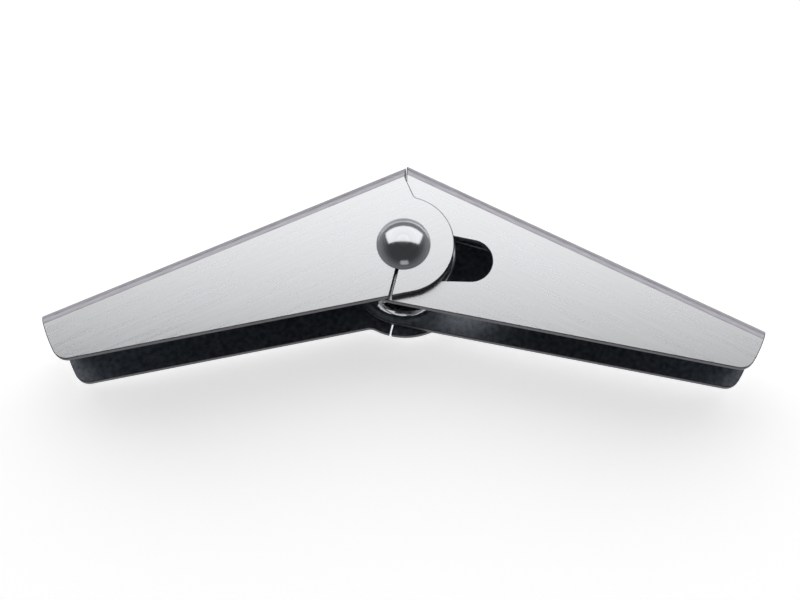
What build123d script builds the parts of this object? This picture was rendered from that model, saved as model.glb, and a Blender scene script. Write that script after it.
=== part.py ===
"""Spring toggle for an M6 bolt: two folded steel wings on a cross-threaded nut, held open by a spring.

Millimetres. The origin is the middle of the nut. +Y runs along the bolt's axis to the far end of the
bolt, +X runs along the spread wings and +Z runs along the nut, which is the pin that the wings turn on.
The toggle is drawn open, with the ends of its two webs against each other.
"""

import os
from math import acos, atan2, cos, degrees, hypot, radians, sin, sqrt, tan

from build123d import *

# Sheet of both wings
sheet = 1.0
bend_radius = 1.3

# Both wings, open
open_angle = 25.0
wing_length = 42.4
tip_corner_radius = 1.8
tip_bow = 0.25
stop_gap = 0.1
side_gap = 0.1
notch_radius = 3.4

# Inner wing, which is as wide inside as the bolt and the spring need
inner_inside_width = 8.4
inner_web_height = 9.7
inner_ear_radius = 6.9
inner_taper = 15.1
inner_ear_fillet = 1.0

# Outer wing, which straddles the inner wing
outer_web_height = 9.1
outer_ear_radius = 6.0
outer_taper = 12.1
outer_square_end = 3.5
outer_ear_fillet = 0.7
lobe_radius = 8.1
lobe_fillet = 0.8
lobe_edge_fillet = 1.5

# Slits of the ears, which are hooked over the necks and closed again
slit_width = 0.25
outer_slit_angle = 258.0
inner_slit_angle = 172.0

# Window in the near plate of the inner wing, from a bridge beside the neck to a round end
window_radius = 2.55
window_end_x = 8.0
window_end_y = -1.55
window_top_angle = 10.6
window_back = 3.3
window_bridge = 1.0

# Nut: a threaded band between two spring journals, with necks and dome heads outside them
thread_core_radius = 2.5
thread_mouth_radius = 2.9
band_radius = 6.2
band_half_width = 3.15
band_edge_chamfer = 0.15
journal_radius = 3.8
journal_end_gap = 0.05
neck_radius = 2.4
neck_running_gap = 0.06
dome_radius = 3.2
dome_height = 1.4

# Spring: a coil on each journal, a bar under the outer web and two plain ends under the inner web
wire = 0.4
coil_radius = 5.55
coil_arcs = 9
coil_side_gap = 0.04
leg_reach = 16.0
leg_gap = 0.05
bar_bend_radius = 1.0

# Widths that follow from those above
inner_inside = inner_inside_width / 2
inner_outside = inner_inside + sheet
outer_inside = inner_outside + side_gap
outer_outside = outer_inside + sheet
section_reach = 2 * wing_length

# Nut sizes that follow
journal_end = inner_inside - journal_end_gap
neck_hole_radius = neck_radius + neck_running_gap
dome_base = outer_outside + journal_end_gap
cap_radius = (dome_radius**2 + dome_height**2) / (2 * dome_height)
cap_centre = dome_base + dome_height - cap_radius
dome_middle_x = dome_radius / 2
dome_middle_z = cap_centre + sqrt(cap_radius**2 - dome_middle_x**2)
thread_half_length = band_radius - (thread_mouth_radius - thread_core_radius)
mouth_reach = 2 * band_radius
mouth_reach_radius = thread_core_radius + mouth_reach - thread_half_length

# Side planes of the two wings: x along the wing to its tip, y from the nut to the web
cos_open = cos(radians(open_angle))
sin_open = sin(radians(open_angle))
square_end_top = (stop_gap / 2 + outer_square_end * cos_open) / sin_open
inner_side = Plane(origin=(0, 0, 0), x_dir=(cos_open, -sin_open, 0), z_dir=(0, 0, 1))
outer_side = Plane(origin=(0, 0, 0), x_dir=(-cos_open, -sin_open, 0), z_dir=(0, 0, -1))

# Plane square to the bolt, through the nut's middle, facing the bolt's far end
bolt_plane = Plane(origin=(0, 0, 0), x_dir=(1, 0, 0), z_dir=(0, 1, 0))


def wing_outline(web_height, ear_radius, taper):
    """Side plate of a wing: the stop edge, the web line, the tip and the tapered free edge."""
    stop_top = (stop_gap / 2 - web_height * sin_open) / cos_open
    stop_foot = stop_gap / 2 / cos_open
    tangent = (ear_radius * sin(radians(taper)), -ear_radius * cos(radians(taper)))
    tip_low = wing_length * tan(radians(taper)) - ear_radius / cos(radians(taper))
    with BuildLine() as outline:
        Line((stop_foot, 0), (stop_top, web_height))
        Line((stop_top, web_height), (wing_length, web_height))
        tip_middle = (wing_length + tip_bow, (web_height + tip_low) / 2)
        ThreePointArc((wing_length, web_height), tip_middle, (wing_length, tip_low))
        Line((wing_length, tip_low), tangent)
        Line(tangent, (stop_foot, 0))
    make_face(outline.edges())


def round_tip(outline):
    """Round the corner of the tip that bears on the wall."""
    tip_corners = outline.vertices().sort_by(Axis.X)[-2:].sort_by(Axis.Y)
    fillet(tip_corners[0], radius=tip_corner_radius)


def channel_section(outside, web_height):
    """Cross-section of a folded wing, open on the bolt head's side, with round bends."""
    depth = 3 * web_height
    with Locations((0, web_height - depth / 2)):
        RectangleRounded(2 * outside, depth, bend_radius)
    with Locations((0, web_height - sheet - depth / 2)):
        RectangleRounded(2 * (outside - sheet), depth, bend_radius - sheet, mode=Mode.SUBTRACT)


def section_plane(side):
    """Plane square to a wing, well past its tip, looking back along it: y from the nut to the web."""
    return Plane(origin=side.x_dir * section_reach, x_dir=side.z_dir, z_dir=-side.x_dir)


def ear_slit(ear_radius, angle):
    """Closed mouth of a hooked ear, from the neck's hole out past the ear's edge."""
    slit_end = ear_radius + sheet
    with PolarLocations((neck_radius + slit_end) / 2, 1, start_angle=angle):
        Rectangle(slit_end - neck_radius, slit_width)


# Outer wing: one folded sheet, with a small round near ear and a larger far one
with BuildPart() as outer_wing:
    with BuildSketch(outer_side) as near_plate:
        wing_outline(outer_web_height, outer_ear_radius, outer_taper)
        Circle(outer_ear_radius)
        with Locations((-outer_square_end, 0)):
            Rectangle(outer_square_end, square_end_top, align=Align.MIN)
        round_tip(near_plate)
        ear_corners = near_plate.vertices().group_by(SortBy.DISTANCE)[0]
        fillet(ear_corners.sort_by(Axis.Y)[-1], radius=outer_ear_fillet)
    extrude(amount=-outer_outside)
    with BuildSketch(outer_side) as far_plate:
        wing_outline(outer_web_height, outer_ear_radius, outer_taper)
        Circle(lobe_radius)
        round_tip(far_plate)
        lobe_corners = far_plate.vertices().group_by(SortBy.DISTANCE)[0].sort_by(Axis.Y)
        fillet(lobe_corners[0], radius=lobe_edge_fillet)
        fillet(lobe_corners[-1], radius=lobe_fillet)
    extrude(amount=outer_outside)
    with BuildSketch(section_plane(outer_side)):
        channel_section(outer_outside, outer_web_height)
    extrude(amount=2 * section_reach, mode=Mode.INTERSECT)
    with BuildSketch():
        Circle(neck_hole_radius)
        ear_slit(lobe_radius, outer_slit_angle)
    extrude(amount=outer_outside, both=True, mode=Mode.SUBTRACT)
    with BuildSketch(bolt_plane):
        Circle(notch_radius)
    extrude(amount=section_reach, mode=Mode.SUBTRACT)

# Inner wing: one folded sheet that fits between the plates of the outer one
with BuildPart() as inner_wing:
    with BuildSketch(inner_side) as inner_plate:
        wing_outline(inner_web_height, inner_ear_radius, inner_taper)
        Circle(inner_ear_radius)
        round_tip(inner_plate)
        ear_corners = inner_plate.vertices().group_by(SortBy.DISTANCE)[0]
        fillet(ear_corners.sort_by(Axis.Y)[-1], radius=inner_ear_fillet)
    extrude(amount=inner_outside, both=True)
    with BuildSketch(section_plane(inner_side)):
        channel_section(inner_outside, inner_web_height)
    extrude(amount=2 * section_reach, mode=Mode.INTERSECT)
    with BuildSketch():
        Circle(neck_hole_radius)
        ear_slit(inner_ear_radius, inner_slit_angle)
    extrude(amount=inner_outside, both=True, mode=Mode.SUBTRACT)
    with BuildSketch(bolt_plane):
        Circle(notch_radius)
    extrude(amount=section_reach, mode=Mode.SUBTRACT)
    with BuildSketch() as window:
        slope = radians(window_top_angle)
        top_x = window_end_x + window_radius * sin(slope)
        top_y = window_end_y + window_radius * cos(slope)
        back_top = top_y + (top_x - window_back) * tan(slope)
        bottom = window_end_y - window_radius
        with BuildLine():
            Polyline(
                (window_end_x, window_end_y),
                (window_end_x, bottom),
                (window_back, bottom),
                (window_back, back_top),
                (top_x, top_y),
                close=True,
            )
        make_face()
        with Locations((window_end_x, window_end_y)):
            Circle(window_radius)
        Circle(neck_hole_radius + window_bridge, mode=Mode.SUBTRACT)
    extrude(amount=inner_outside, mode=Mode.SUBTRACT)

# Nut: band, journals, necks and dome heads, turned in one piece and threaded across
with BuildPart() as toggle_nut:
    Cylinder(band_radius, 2 * band_half_width)
    chamfer(toggle_nut.edges(), length=band_edge_chamfer)
    Cylinder(journal_radius, 2 * journal_end)
    Cylinder(neck_radius, 2 * dome_base)
    with BuildSketch(Plane.XZ):
        with BuildLine():
            Line((0, dome_base), (dome_radius, dome_base))
            dome_top = (0, dome_base + dome_height)
            ThreePointArc((dome_radius, dome_base), (dome_middle_x, dome_middle_z), dome_top)
            Line(dome_top, (0, dome_base))
        make_face()
        mirror(about=Plane.XZ)
    revolve(axis=Axis.Z)
    with BuildSketch(Plane.XY):
        with BuildLine():
            Polyline(
                (0, -mouth_reach),
                (mouth_reach_radius, -mouth_reach),
                (thread_core_radius, -thread_half_length),
                (thread_core_radius, thread_half_length),
                (mouth_reach_radius, mouth_reach),
                (0, mouth_reach),
                close=True,
            )
        make_face()
    revolve(axis=Axis.Y, mode=Mode.SUBTRACT)

# Where the spring's legs bear on the webs and where they leave the coil
outer_foot = outer_web_height - sheet - leg_gap - wire / 2
inner_foot = inner_web_height - sheet - leg_gap - wire / 2


def leaving_angle(foot):
    """Angle round the coil, from the wing's own length, at which the leg to that wing leaves it."""
    return degrees(atan2(foot, leg_reach) + acos(coil_radius / hypot(foot, leg_reach)))


def coil_point(share):
    """Point of the coil's centreline, from share 0 at the outer wing's leg to 1 at the inner wing's."""
    angle = radians(outer_leaving - share * coil_turn)
    return (coil_radius * cos(angle), coil_radius * sin(angle), low_z + share * (high_z - low_z))


# Spring: half of it is swept and the other half is its mirror image
outer_leaving = 180 + open_angle - leaving_angle(outer_foot)
inner_leaving = leaving_angle(inner_foot) - open_angle
coil_turn = 360 + outer_leaving - inner_leaving
low_z = band_half_width + coil_side_gap + wire / 2
high_z = inner_inside - coil_side_gap - wire / 2
bar = outer_side.from_local_coords(Vector(leg_reach, outer_foot, 0))
plain_end = inner_side.from_local_coords(Vector(leg_reach, inner_foot, high_z))
with BuildPart() as spring:
    with BuildLine():
        FilletPolyline(bar, bar + Vector(0, 0, low_z), coil_point(0), radius=bar_bend_radius)
        for arc in range(coil_arcs):
            ThreePointArc(*[coil_point((arc + part / 2) / coil_arcs) for part in range(3)])
        Line(coil_point(1), plain_end)
    with BuildSketch(Plane(origin=bar, z_dir=(0, 0, 1))):
        Circle(wire / 2)
    sweep()
    mirror(about=Plane.XY)

# One file for each piece
os.makedirs("parts", exist_ok=True)
toggle_nut.part.label = "toggle_nut"
export_step(toggle_nut.part, "parts/toggle_nut.step")
outer_wing.part.label = "outer_wing"
export_step(outer_wing.part, "parts/outer_wing.step")
inner_wing.part.label = "inner_wing"
export_step(inner_wing.part, "parts/inner_wing.step")
spring.part.label = "spring"
export_step(spring.part, "parts/spring.step")
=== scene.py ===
"""Spring toggle for an M6 bolt, lying on its side: zinc-plated wings, a tapped nut and a wire spring.

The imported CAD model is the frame. The wings and the nut are shown as merged copies of its meshes, the
wings with tumbled edges and the nut with its thread cut, and the spring is drawn as wire that follows
the two wings. Sizes are in millimetres until MM turns them to metres, and the studio's are in metres.
"""

from math import acos, atan2, cos, hypot, pi, radians, sin

import bmesh
import bpy
from mathutils import Matrix, Vector


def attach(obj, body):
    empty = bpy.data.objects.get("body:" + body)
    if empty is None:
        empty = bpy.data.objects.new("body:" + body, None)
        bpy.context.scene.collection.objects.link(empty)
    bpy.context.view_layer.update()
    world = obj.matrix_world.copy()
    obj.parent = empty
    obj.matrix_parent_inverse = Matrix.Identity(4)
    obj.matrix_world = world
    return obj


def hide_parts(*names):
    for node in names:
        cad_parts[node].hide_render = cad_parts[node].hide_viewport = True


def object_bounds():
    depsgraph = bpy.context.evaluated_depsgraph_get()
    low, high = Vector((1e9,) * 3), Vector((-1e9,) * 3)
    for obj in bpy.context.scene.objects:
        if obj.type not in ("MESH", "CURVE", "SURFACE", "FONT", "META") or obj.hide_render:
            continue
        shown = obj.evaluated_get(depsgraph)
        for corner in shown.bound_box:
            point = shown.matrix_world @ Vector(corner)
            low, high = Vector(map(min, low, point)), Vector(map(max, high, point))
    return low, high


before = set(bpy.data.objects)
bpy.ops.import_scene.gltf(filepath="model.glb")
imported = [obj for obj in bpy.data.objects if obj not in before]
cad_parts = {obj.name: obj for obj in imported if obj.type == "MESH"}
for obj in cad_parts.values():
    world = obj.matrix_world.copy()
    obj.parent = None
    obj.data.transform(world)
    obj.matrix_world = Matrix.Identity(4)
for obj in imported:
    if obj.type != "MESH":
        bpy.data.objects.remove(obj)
cad_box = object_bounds()

MM = 0.001

# Wings, as the CAD has them
OPEN_ANGLE = radians(25)
SHEET = 1.0
BEND_RADIUS = 1.3
NOTCH_RADIUS = 3.4
INNER_WEB_HEIGHT = 9.7
OUTER_WEB_HEIGHT = 9.1
INNER_HALF_WIDTH = 5.2
OUTER_HALF_WIDTH = 6.3
TUMBLED_EDGE = 0.1
TUMBLED_STEPS = 2

# How the wings' and nut's faces are told apart: merging, flatness, corners and the way faces look
MERGE_REACH = 0.03
FLAT_WITHIN = radians(0.6)
CORNER_TURN = radians(40)
END_FACING = 0.7
EDGE_FACING = 0.5
QUARTER_TURN = radians(90)

# Thread of the nut: M6 with 1 mm pitch
THREAD_PITCH = 1.0
THREAD_CORE_RADIUS = 2.5
THREAD_ROOT_RADIUS = 3.0
THREAD_ROOT_WIDTH = THREAD_PITCH / 8
THREAD_CORE_WIDTH = 0.75 * THREAD_PITCH
THREAD_OVERSHOOT = 0.1
THREAD_LENGTH = 14.0
THREAD_STEPS_A_TURN = 40
SHARP_TURN = radians(30)

# Spring, as the CAD has it
WIRE = 0.4
COIL_RADIUS = 5.55
BAND_HALF_WIDTH = 3.15
INNER_INSIDE = 4.2
COIL_SIDE_GAP = 0.04
LEG_GAP = 0.05
LEG_REACH = 16.0
BAR_BEND_RADIUS = 1.0
WIRE_SIDES = 16
COIL_STEP = radians(6)
BAR_BEND_STEPS = round(QUARTER_TURN / COIL_STEP)
SPARE_TURN = radians(72)

# Finishes: the stretch of a noise pattern that is used
PATTERN_LOW = 0.3
PATTERN_HIGH = 0.7

# Camera, found from the photograph's edges: over the upper plates, on the bolt head's side
CAMERA_PLACE = Vector((5.56, -58.23, 176.21))
CAMERA_RIGHT = Vector((0.9992, 0.0318, -0.0243))
CAMERA_BACK = Vector((0.0324, -0.2888, 0.9568))
CAMERA_LENS = 68.4
SENSOR_WIDTH = 36.0
CLIP_START = 0.005

# Studio: floor, and light of the room from its horizon up to where its ceiling begins
FLOOR_HALF_SIZE = 3.0
FLOOR_GLOW = 0.63
WALL_LIGHT = 0.34
CEILING_LIGHT = 0.07
CEILING_FROM = 0.75


def srgb(code):
    """Linear colour of an sRGB hex code."""
    parts = [int(code[start : start + 2], 16) / 255 for start in (1, 3, 5)]
    return [c / 12.92 if c <= 0.04045 else ((c + 0.055) / 1.055) ** 2.4 for c in parts] + [1.0]


def add_node(tree, kind, inputs=None, links=None, **settings):
    """A node with its settings and input values, and with links from other nodes' outputs."""
    node = tree.nodes.new(kind)
    for name, value in settings.items():
        setattr(node, name, value)
    for name, value in (inputs or {}).items():
        node.inputs[name].default_value = value
    for name, output in (links or {}).items():
        tree.links.new(output, node.inputs[name])
    return node


# Finishes


def per(size):
    """Scale that gives a pattern on Object coordinates features of that size in millimetres."""
    return 1 / (size * MM)


def new_metal(name, colour, roughness):
    """A metal's node tree and shader, with its colour and roughness still plain."""
    material = bpy.data.materials.new(name)
    material.use_nodes = True
    tree = material.node_tree
    tree.nodes.clear()
    plain = {"Base Color": srgb(colour), "Metallic": 1.0, "Roughness": roughness}
    shader = add_node(tree, "ShaderNodeBsdfPrincipled", plain)
    add_node(tree, "ShaderNodeOutputMaterial", links={"Surface": shader.outputs["BSDF"]})
    return material, tree, shader


def finish_metal(tree, shader, pattern, shades, roughness, relief):
    """Let a pattern move the shader's colour and roughness, and raise the surface a little."""
    colour = add_node(tree, "ShaderNodeValToRGB", links={"Fac": pattern})
    for element, place, shade in zip(colour.color_ramp.elements, (PATTERN_LOW, PATTERN_HIGH), shades):
        element.position = place
        element.color = srgb(shade)
    smooth, rough = roughness
    span = {"From Min": PATTERN_LOW, "From Max": PATTERN_HIGH, "To Min": smooth, "To Max": rough}
    polish = add_node(tree, "ShaderNodeMapRange", span, {"Value": pattern})
    bump = add_node(tree, "ShaderNodeBump", {"Distance": relief * MM}, {"Height": pattern})
    tree.links.new(colour.outputs["Color"], shader.inputs["Base Color"])
    tree.links.new(polish.outputs["Result"], shader.inputs["Roughness"])
    tree.links.new(bump.outputs["Normal"], shader.inputs["Normal"])


def bright_zinc_sheet():
    """Bright zinc plate on cold-rolled sheet: pale and glossy, with the rolls' faint long lines."""
    material, tree, shader = new_metal("bright_zinc_on_rolled_sheet", "#DCDDDF", 0.28)
    place = add_node(tree, "ShaderNodeAttribute", attribute_name="sheet_place").outputs["Vector"]
    line_length, line_width = 9, 0.35
    scale = (1 / line_length, 1 / line_width, 1 / line_width)
    stretched = add_node(tree, "ShaderNodeMapping", {"Scale": scale}, {"Vector": place})
    lines = {"Scale": 1.0, "Detail": 4.0}
    rolled = add_node(tree, "ShaderNodeTexNoise", lines, {"Vector": stretched.outputs["Vector"]})
    shades = ("#D8D9DC", "#E0E1E2")
    finish_metal(tree, shader, rolled.outputs["Fac"], shades, roughness=(0.26, 0.31), relief=0.0006)
    return material


def bend_zinc_painted_shade():
    """Zinc plate over the outside of a bend: the stretched skin is finely cracked and duller; its grey is
    painted shade.
    """
    # The grey base and both shades below are painted shade of a bend that faces away from the softbox.
    material, tree, shader = new_metal("zinc_on_bend_painted_shade", "#A5A3A8", 0.4)
    place = add_node(tree, "ShaderNodeAttribute", attribute_name="sheet_place").outputs["Vector"]
    crack_length, crack_width = 1.6, 0.12
    scale = (1 / crack_length, 1 / crack_width, 1 / crack_width)
    stretched = add_node(tree, "ShaderNodeMapping", {"Scale": scale}, {"Vector": place})
    lines = {"Scale": 1.0, "Detail": 4.0}
    cracks = add_node(tree, "ShaderNodeTexNoise", lines, {"Vector": stretched.outputs["Vector"]})
    shades = ("#8F8D93", "#B3B1B6")
    finish_metal(tree, shader, cracks.outputs["Fac"], shades, roughness=(0.34, 0.46), relief=0.006)
    return material


def channel_zinc_painted_shade():
    """Zinc plate in the channel, darkened to a cloudy bluish grey as painted shade of the channel."""
    # The dark bluish base and both shades below are painted shade inside the channel.
    material, tree, shader = new_metal("zinc_in_channel_painted_shade", "#82878F", 0.42)
    place = add_node(tree, "ShaderNodeAttribute", attribute_name="sheet_place").outputs["Vector"]
    grains = {"Scale": 1 / 0.6, "Detail": 6.0}
    clouds = add_node(tree, "ShaderNodeTexNoise", grains, {"Vector": place})
    shades = ("#6C7179", "#989DA4")
    finish_metal(tree, shader, clouds.outputs["Fac"], shades, roughness=(0.34, 0.5), relief=0.03)
    return material


def torn_edge_painted_shade():
    """Edge of the sheet where the press cut it: torn across the sheet and dull, and dark partly as
    painted shade.
    """
    # The dark grey is partly the torn edge's own look and partly painted shade of edges facing down.
    material, tree, shader = new_metal("torn_zinc_edge_painted_shade", "#57565B", 0.45)
    place = add_node(tree, "ShaderNodeTexCoord").outputs["Object"]
    scale = (per(0.25), per(0.25), per(1.4))
    stretched = add_node(tree, "ShaderNodeMapping", {"Scale": scale}, {"Vector": place})
    lines = {"Scale": 1.0, "Detail": 4.0}
    tears = add_node(tree, "ShaderNodeTexNoise", lines, {"Vector": stretched.outputs["Vector"]})
    shades = ("#434247", "#6A696F")
    finish_metal(tree, shader, tears.outputs["Fac"], shades, roughness=(0.38, 0.58), relief=0.02)
    return material


def turned_zinc():
    """Bright zinc plate on turned bar: almost a mirror, with fine rings round the nut's pivots."""
    material, tree, shader = new_metal("bright_zinc_on_turned_bar", "#C4C5C9", 0.14)
    place = add_node(tree, "ShaderNodeTexCoord").outputs["Object"]
    parts = add_node(tree, "ShaderNodeSeparateXYZ", links={"Vector": place}).outputs
    flat = add_node(tree, "ShaderNodeCombineXYZ", links={"X": parts["X"], "Y": parts["Y"]})
    radius = add_node(tree, "ShaderNodeVectorMath", links={0: flat.outputs["Vector"]}, operation="LENGTH")
    along = add_node(tree, "ShaderNodeCombineXYZ", links={"X": radius.outputs["Value"], "Z": parts["Z"]})
    lines = {"Scale": per(0.12), "Detail": 3.0}
    rings = add_node(tree, "ShaderNodeTexNoise", lines, {"Vector": along.outputs["Vector"]})
    shades = ("#BDBEC2", "#CBCCCF")
    finish_metal(tree, shader, rings.outputs["Fac"], shades, roughness=(0.1, 0.18), relief=0.0008)
    return material


def tapped_thread():
    """Flanks that the tap cut: greyer than the plated outside, with chatter across the cut."""
    material, tree, shader = new_metal("thin_zinc_on_tapped_thread", "#AFB0B4", 0.48)
    place = add_node(tree, "ShaderNodeTexCoord").outputs["Object"]
    scale = (per(0.4), per(0.1), per(0.4))
    stretched = add_node(tree, "ShaderNodeMapping", {"Scale": scale}, {"Vector": place})
    lines = {"Scale": 1.0, "Detail": 3.0}
    marks = add_node(tree, "ShaderNodeTexNoise", lines, {"Vector": stretched.outputs["Vector"]})
    shades = ("#A0A1A6", "#BEBFC3")
    finish_metal(tree, shader, marks.outputs["Fac"], shades, roughness=(0.42, 0.55), relief=0.012)
    return material


def drawn_wire():
    """Hard-drawn spring steel: grey and satin, spotted finely by the lime of the drawing."""
    material, tree, shader = new_metal("drawn_spring_steel", "#8A8B90", 0.32)
    place = add_node(tree, "ShaderNodeTexCoord").outputs["Object"]
    grains = {"Scale": per(0.3), "Detail": 4.0}
    spots = add_node(tree, "ShaderNodeTexNoise", grains, {"Vector": place})
    shades = ("#7C7D82", "#999A9F")
    finish_metal(tree, shader, spots.outputs["Fac"], shades, roughness=(0.26, 0.4), relief=0.002)
    return material


# Pieces


def bake(shape, name):
    """The shape with its modifiers worked into a plain mesh, under its final name."""
    depsgraph = bpy.context.evaluated_depsgraph_get()
    mesh = bpy.data.meshes.new_from_object(shape.evaluated_get(depsgraph))
    bpy.data.objects.remove(shape)
    piece = bpy.data.objects.new(name, mesh)
    bpy.context.scene.collection.objects.link(piece)
    return piece


def new_shape(name, data):
    """An object that is still being made."""
    shape = bpy.data.objects.new(name, data)
    bpy.context.scene.collection.objects.link(shape)
    return shape


def merged_surface(node):
    """A CAD node's mesh as one surface, with its flat faces whole."""
    surface = bmesh.new()
    surface.from_mesh(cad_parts[node].data)
    bmesh.ops.remove_doubles(surface, verts=surface.verts, dist=MERGE_REACH * MM)
    parts = {"verts": surface.verts, "edges": surface.edges}
    bmesh.ops.dissolve_limit(surface, angle_limit=FLAT_WITHIN, **parts)
    return surface


def tumble_edges(surface, finish):
    """Round every sharp edge a little, as tumbling does, and give the rounding that finish."""
    sharp = [e for e in surface.edges if e.is_manifold and e.calc_face_angle() > CORNER_TURN]
    bmesh.ops.bevel(
        surface,
        geom=sharp,
        offset=TUMBLED_EDGE * MM,
        offset_type="OFFSET",
        segments=TUMBLED_STEPS,
        profile=0.5,
        affect="EDGES",
        clamp_overlap=False,
        loop_slide=True,
        material=finish,
    )


def surface_shape(surface, name, materials):
    """A shape of that surface, shaded smooth, which uses the surface up."""
    mesh = bpy.data.meshes.new(name)
    surface.to_mesh(mesh)
    surface.free()
    for material in materials:
        mesh.materials.append(material)
    mesh.shade_smooth()
    return new_shape(name, mesh)


def sheet_finish(face, along, up, web_height, half_width):
    """Which of SHEET_FINISHES a wing's face has."""
    centre = face.calc_center_median() / MM
    height = centre.dot(up)
    near_bolt = hypot(centre.x, centre.z) < NOTCH_RADIUS + TUMBLED_EDGE
    if near_bolt and centre.y > 0 and height > NOTCH_RADIUS:
        return SHEARED
    past_web_bend = max(0, height - (web_height - BEND_RADIUS))
    past_side_bend = max(0, abs(centre.z) - (half_width - BEND_RADIUS))
    end_of_sheet = abs(face.normal.dot(along)) > END_FACING
    edge_of_plate = past_web_bend == 0 and abs(face.normal.z) < EDGE_FACING
    if end_of_sheet or edge_of_plate:
        return SHEARED
    outwards = up * past_web_bend + Vector((0, 0, past_side_bend if centre.z > 0 else -past_side_bend))
    if face.normal.dot(outwards) < 0:
        return INSIDE
    return BENT if past_web_bend and past_side_bend else FLAT


def folded_wing(node, web_height, half_width, side):
    """A wing from its CAD node, with its skin, bends, inside and cut edges finished apart."""
    along = Vector((side * cos(OPEN_ANGLE), -sin(OPEN_ANGLE), 0))
    up = Vector((side * sin(OPEN_ANGLE), cos(OPEN_ANGLE), 0))
    surface = merged_surface(node)
    for face in surface.faces:
        face.material_index = sheet_finish(face, along, up, web_height, half_width)
    # The rounding takes the dark edge finish, which paints a thin line of shade along every edge.
    tumble_edges(surface, SHEARED)
    sheet_place = surface.verts.layers.float_vector.new("sheet_place")
    for point in surface.verts:
        point[sheet_place] = Vector((point.co.dot(along), point.co.dot(up), point.co.z)) / MM
    shape = surface_shape(surface, "folding", SHEET_FINISHES)
    shape.modifiers.new("flat_faces", "WEIGHTED_NORMAL")
    wing = bake(shape, node + "_sheet")
    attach(wing, node)
    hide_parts(node)


def add_inputs(tree, kinds):
    """Named inputs for a tree of geometry nodes, whose values its modifier sets."""
    for name, kind in kinds.items():
        tree.interface.new_socket(name, in_out="INPUT", socket_type=kind)
    tree.interface.new_socket("Geometry", in_out="OUTPUT", socket_type="NodeSocketGeometry")
    return add_node(tree, "NodeGroupInput").outputs


def end_tree(tree, geometry, material):
    """Make the tree's result real, give it its material and hand it out."""
    real = add_node(tree, "GeometryNodeRealizeInstances", links={"Geometry": geometry})
    coat = {"Material": material}
    coated = add_node(tree, "GeometryNodeSetMaterial", coat, {"Geometry": real.outputs["Geometry"]})
    add_node(tree, "NodeGroupOutput", links={"Geometry": coated.outputs["Geometry"]})


def grow(shape, tree, values):
    """Put a tree of geometry nodes on a shape, with a value for each of its named inputs."""
    modifier = shape.modifiers.new(tree.name, "NODES")
    modifier.node_group = tree
    for socket in tree.interface.items_tree:
        if socket.in_out == "INPUT" and socket.name in values:
            modifier[socket.identifier] = values[socket.name]


def thread_tree():
    """Geometry nodes that wind a ridge with the section of a thread up a right-hand helix."""
    tree = bpy.data.node_groups.new("thread_ridge", "GeometryNodeTree")
    sizes = ("Turns", "Length", "Core radius", "Root radius", "Core width", "Root width")
    given = add_inputs(tree, dict.fromkeys(sizes, "NodeSocketFloat"))
    radii = {0: given["Root radius"], 1: given["Core radius"]}
    depth = add_node(tree, "ShaderNodeMath", links=radii, operation="SUBTRACT").outputs[0]
    both = add_node(tree, "ShaderNodeMath", links=radii, operation="ADD").outputs[0]
    middle = add_node(tree, "ShaderNodeMath", {1: 2.0}, {0: both}, operation="DIVIDE").outputs[0]
    helix = add_node(
        tree,
        "GeometryNodeCurveSpiral",
        {"Resolution": THREAD_STEPS_A_TURN, "Reverse": True},
        {
            "Rotations": given["Turns"],
            "Start Radius": middle,
            "End Radius": middle,
            "Height": given["Length"],
        },
    ).outputs["Curve"]
    upright = add_node(tree, "GeometryNodeSetCurveNormal", links={"Curve": helix}, mode="Z_UP")
    section = add_node(
        tree,
        "GeometryNodeCurvePrimitiveQuadrilateral",
        {"Offset": 0.0},
        {"Height": depth, "Bottom Width": given["Core width"], "Top Width": given["Root width"]},
        mode="TRAPEZOID",
    ).outputs["Curve"]
    facing_out = {"Rotation": (0, 0, QUARTER_TURN)}
    turned = add_node(tree, "GeometryNodeTransform", facing_out, {"Geometry": section})
    swept = {"Curve": upright.outputs["Curve"], "Profile Curve": turned.outputs["Geometry"]}
    ridge = add_node(tree, "GeometryNodeCurveToMesh", {"Fill Caps": True}, swept)
    half = add_node(tree, "ShaderNodeMath", {1: -0.5}, {0: given["Length"]}, operation="MULTIPLY")
    drop = add_node(tree, "ShaderNodeCombineXYZ", links={"Z": half.outputs[0]})
    centring = {"Geometry": ridge.outputs["Mesh"], "Translation": drop.outputs["Vector"]}
    centred = add_node(tree, "GeometryNodeTransform", links=centring)
    lying = {"Rotation": (QUARTER_TURN, 0, 0)}
    laid = add_node(tree, "GeometryNodeTransform", lying, {"Geometry": centred.outputs["Geometry"]})
    end_tree(tree, laid.outputs["Geometry"], TAPPED_THREAD)
    return tree


def wire_tree():
    """Geometry nodes that draw a round wire along the curves they are put on."""
    tree = bpy.data.node_groups.new("drawn_wire", "GeometryNodeTree")
    kinds = {
        "Geometry": "NodeSocketGeometry",
        "Wire radius": "NodeSocketFloat",
        "Sides": "NodeSocketInt",
    }
    given = add_inputs(tree, kinds)
    sizes = {"Resolution": given["Sides"], "Radius": given["Wire radius"]}
    circle = add_node(tree, "GeometryNodeCurvePrimitiveCircle", links=sizes)
    swept = {"Curve": given["Geometry"], "Profile Curve": circle.outputs["Curve"]}
    drawn = add_node(tree, "GeometryNodeCurveToMesh", {"Fill Caps": True}, swept)
    end_tree(tree, drawn.outputs["Mesh"], SPRING_WIRE)
    return tree


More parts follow.
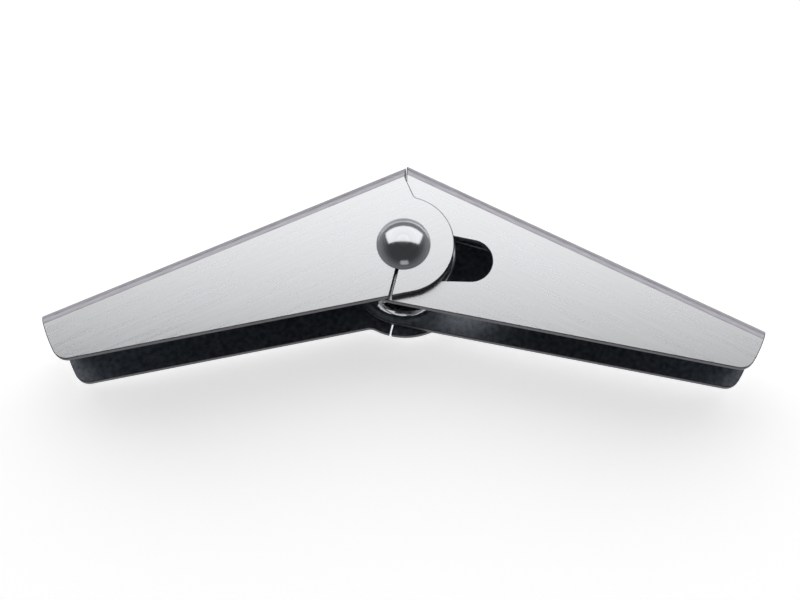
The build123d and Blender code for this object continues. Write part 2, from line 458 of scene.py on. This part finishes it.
def bent_wire(name, body, runs):
    """Wire along runs of points in millimetres, which moves with that body."""
    curve = bpy.data.curves.new(name, "CURVE")
    curve.dimensions = "3D"
    for run in runs:
        spline = curve.splines.new("POLY")
        spline.points.add(len(run) - 1)
        for place, point in zip(spline.points, run):
            place.co = (*(point * MM), 1.0)
    shape = new_shape("bending", curve)
    grow(shape, WIRE_TREE, {"Wire radius": WIRE / 2 * MM, "Sides": WIRE_SIDES})
    piece = bake(shape, name)
    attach(piece, body)
    return piece


def leaving_angle(foot):
    """Angle round the coil, from a wing's own length, at which the leg to that wing leaves it."""
    return atan2(foot, LEG_REACH) + acos(COIL_RADIUS / hypot(foot, LEG_REACH))


def make_spring():
    """Coils on the nut, a leg with a bar for the outer wing and two plain legs for the inner one."""
    outer_foot = OUTER_WEB_HEIGHT - SHEET - LEG_GAP - WIRE / 2
    inner_foot = INNER_WEB_HEIGHT - SHEET - LEG_GAP - WIRE / 2
    outer_leaving = pi + OPEN_ANGLE - leaving_angle(outer_foot)
    inner_leaving = leaving_angle(inner_foot) - OPEN_ANGLE
    coil_turn = 2 * pi + outer_leaving - inner_leaving
    low_z = BAND_HALF_WIDTH + COIL_SIDE_GAP + WIRE / 2
    high_z = INNER_INSIDE - COIL_SIDE_GAP - WIRE / 2

    def coil_run(start, end):
        """Points of the near coil between two shares of its turn, from the outer wing's leg on."""
        steps = round(abs(end - start) * coil_turn / COIL_STEP)
        run = []
        for step in range(steps + 1):
            share = start + (end - start) * step / steps
            angle = outer_leaving - share * coil_turn
            height = low_z + share * (high_z - low_z)
            run.append(Vector((COIL_RADIUS * cos(angle), COIL_RADIUS * sin(angle), height)))
        return run

    def mirrored(run):
        """The same run in the far half of the toggle."""
        return [Vector((point.x, point.y, -point.z)) for point in run]

    def under_web(side, foot, height):
        """Where a leg bears on its web."""
        along = Vector((side * cos(OPEN_ANGLE), -sin(OPEN_ANGLE), 0))
        up = Vector((side * sin(OPEN_ANGLE), cos(OPEN_ANGLE), 0))
        return along * LEG_REACH + up * foot + Vector((0, 0, height))

    coil = coil_run(0, 1)
    coils = bent_wire("spring_coils", "nut", [coil, mirrored(coil)])
    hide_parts("spring")

    # Each leg keeps a spare stretch of coil, which winds out of the coil as its wing folds
    spare = SPARE_TURN / coil_turn
    corner = under_web(-1, outer_foot, low_z)
    towards_coil = (coil[0] - corner).normalized()
    bend_centre = corner + BAR_BEND_RADIUS * (towards_coil - Vector((0, 0, 1)))
    bend = []
    for step in range(BAR_BEND_STEPS + 1):
        angle = step * COIL_STEP
        arm = Vector((0, 0, sin(angle))) - towards_coil * cos(angle)
        bend.append(bend_centre + BAR_BEND_RADIUS * arm)
    half = bend + coil_run(0, spare)
    bent_wire("spring_outer_leg", "outer_wing", [mirrored(half)[::-1] + half])

    leg = coil_run(1 - spare, 1) + [under_web(1, inner_foot, high_z)]
    bent_wire("spring_inner_legs", "inner_wing", [leg, mirrored(leg)])


def make_nut():
    """The nut from its CAD node, with the thread cut."""
    shape = surface_shape(merged_surface("toggle_nut"), "turning", [TURNED_ZINC])
    ridge_shape = new_shape("winding", bpy.data.meshes.new("winding"))
    sizes = {
        "Turns": THREAD_LENGTH / THREAD_PITCH,
        "Length": THREAD_LENGTH * MM,
        "Core radius": (THREAD_CORE_RADIUS - THREAD_OVERSHOOT) * MM,
        "Root radius": THREAD_ROOT_RADIUS * MM,
        "Core width": THREAD_CORE_WIDTH * MM,
        "Root width": THREAD_ROOT_WIDTH * MM,
    }
    grow(ridge_shape, thread_tree(), sizes)
    ridge = bake(ridge_shape, "thread_ridge")
    cut = shape.modifiers.new("tap", "BOOLEAN")
    cut.operation = "DIFFERENCE"
    cut.solver = "EXACT"
    cut.material_mode = "TRANSFER"
    cut.object = ridge
    nut = bake(shape, "toggle_nut_turned")
    nut.data.set_sharp_from_angle(angle=SHARP_TURN)
    bpy.data.objects.remove(ridge)
    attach(nut, "nut")
    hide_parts("toggle_nut")


# Studio


def make_floor():
    """Pale floor at the toggle's lowest point, white to the camera and grey in the toggle's shadow."""
    low = cad_box[0]
    reach = FLOOR_HALF_SIZE
    mesh = bpy.data.meshes.new("floor")
    corners = [(x * reach, y * reach, low.z) for x, y in ((-1, -1), (1, -1), (1, 1), (-1, 1))]
    mesh.from_pydata(corners, [], [(0, 1, 2, 3)])
    floor = bpy.data.objects.new("floor", mesh)
    bpy.context.scene.collection.objects.link(floor)
    material = bpy.data.materials.new("pale_floor")
    material.use_nodes = True
    tree = material.node_tree
    tree.nodes.clear()
    paint = add_node(tree, "ShaderNodeBsdfDiffuse", {"Color": srgb("#E6E6E6")})
    path = add_node(tree, "ShaderNodeLightPath").outputs
    seen = path["Is Camera Ray"]
    for ray in ("Is Glossy Ray", "Is Transmission Ray"):
        links = {0: seen, 1: path[ray]}
        seen = add_node(tree, "ShaderNodeMath", links=links, operation="MAXIMUM").outputs[0]
    strength = add_node(tree, "ShaderNodeMath", {1: FLOOR_GLOW}, {0: seen}, operation="MULTIPLY")
    glow = add_node(tree, "ShaderNodeEmission", links={"Strength": strength.outputs[0]})
    both = add_node(tree, "ShaderNodeAddShader")
    tree.links.new(paint.outputs["BSDF"], both.inputs[0])
    tree.links.new(glow.outputs["Emission"], both.inputs[1])
    add_node(tree, "ShaderNodeOutputMaterial", links={"Surface": both.outputs["Shader"]})
    mesh.materials.append(material)


def make_world():
    """A room with pale walls and a dim ceiling."""
    world = bpy.data.worlds.new("studio_room")
    bpy.context.scene.world = world
    world.use_nodes = True
    tree = world.node_tree
    tree.nodes.clear()
    way = add_node(tree, "ShaderNodeTexCoord").outputs["Generated"]
    parts = add_node(tree, "ShaderNodeSeparateXYZ", links={"Vector": way}).outputs
    fading = {"From Min": 0.0, "From Max": CEILING_FROM, "To Min": WALL_LIGHT, "To Max": CEILING_LIGHT}
    strength = add_node(
        tree, "ShaderNodeMapRange", fading, {"Value": parts["Z"]}, interpolation_type="SMOOTHSTEP"
    )
    room = add_node(
        tree,
        "ShaderNodeBackground",
        {"Color": srgb("#F4F6FA")},
        {"Strength": strength.outputs["Result"]},
    )
    add_node(tree, "ShaderNodeOutputWorld", links={"Surface": room.outputs["Background"]})


def add_softbox(name, place, width, height, radiance):
    """A rectangular lamp that looks at the toggle, as bright as radiance in a mirror."""
    lamp = bpy.data.lights.new(name, "AREA")
    lamp.shape = "RECTANGLE"
    lamp.size = width
    lamp.size_y = height
    lamp.energy = radiance * pi * width * height
    holder = bpy.data.objects.new(name, lamp)
    holder.location = place
    holder.rotation_euler = Vector(place).to_track_quat("Z", "Y").to_euler()
    holder.visible_camera = False
    bpy.context.scene.collection.objects.link(holder)


def make_camera():
    """The photograph's own view."""
    lens = bpy.data.cameras.new("photo_camera")
    lens.lens = CAMERA_LENS
    lens.sensor_width = SENSOR_WIDTH
    lens.clip_start = CLIP_START
    camera = bpy.data.objects.new("photo_camera", lens)
    up = CAMERA_BACK.cross(CAMERA_RIGHT).normalized()
    right = up.cross(CAMERA_BACK).normalized()
    turn = Matrix((right, up, CAMERA_BACK.normalized())).transposed().to_4x4()
    camera.matrix_world = Matrix.Translation(CAMERA_PLACE * MM) @ turn
    bpy.context.scene.collection.objects.link(camera)
    bpy.context.scene.camera = camera


FLAT, BENT, INSIDE, SHEARED = range(4)
SHEET_FINISHES = [bright_zinc_sheet(), bend_zinc_painted_shade(), channel_zinc_painted_shade(), torn_edge_painted_shade()]
TURNED_ZINC = turned_zinc()
TAPPED_THREAD = tapped_thread()
SPRING_WIRE = drawn_wire()
WIRE_TREE = wire_tree()

folded_wing("outer_wing", OUTER_WEB_HEIGHT, OUTER_HALF_WIDTH, -1)
folded_wing("inner_wing", INNER_WEB_HEIGHT, INNER_HALF_WIDTH, 1)
make_nut()
make_spring()
make_floor()
make_world()
add_softbox("softbox_behind", place=(0.0, 0.268, 0.297), width=0.95, height=0.42, radiance=1.4)
add_softbox("small_fill_in_front", place=(0.02, -0.29, 0.22), width=0.15, height=0.08, radiance=0.5)
make_camera()
bpy.context.scene.view_settings.view_transform = "Standard"
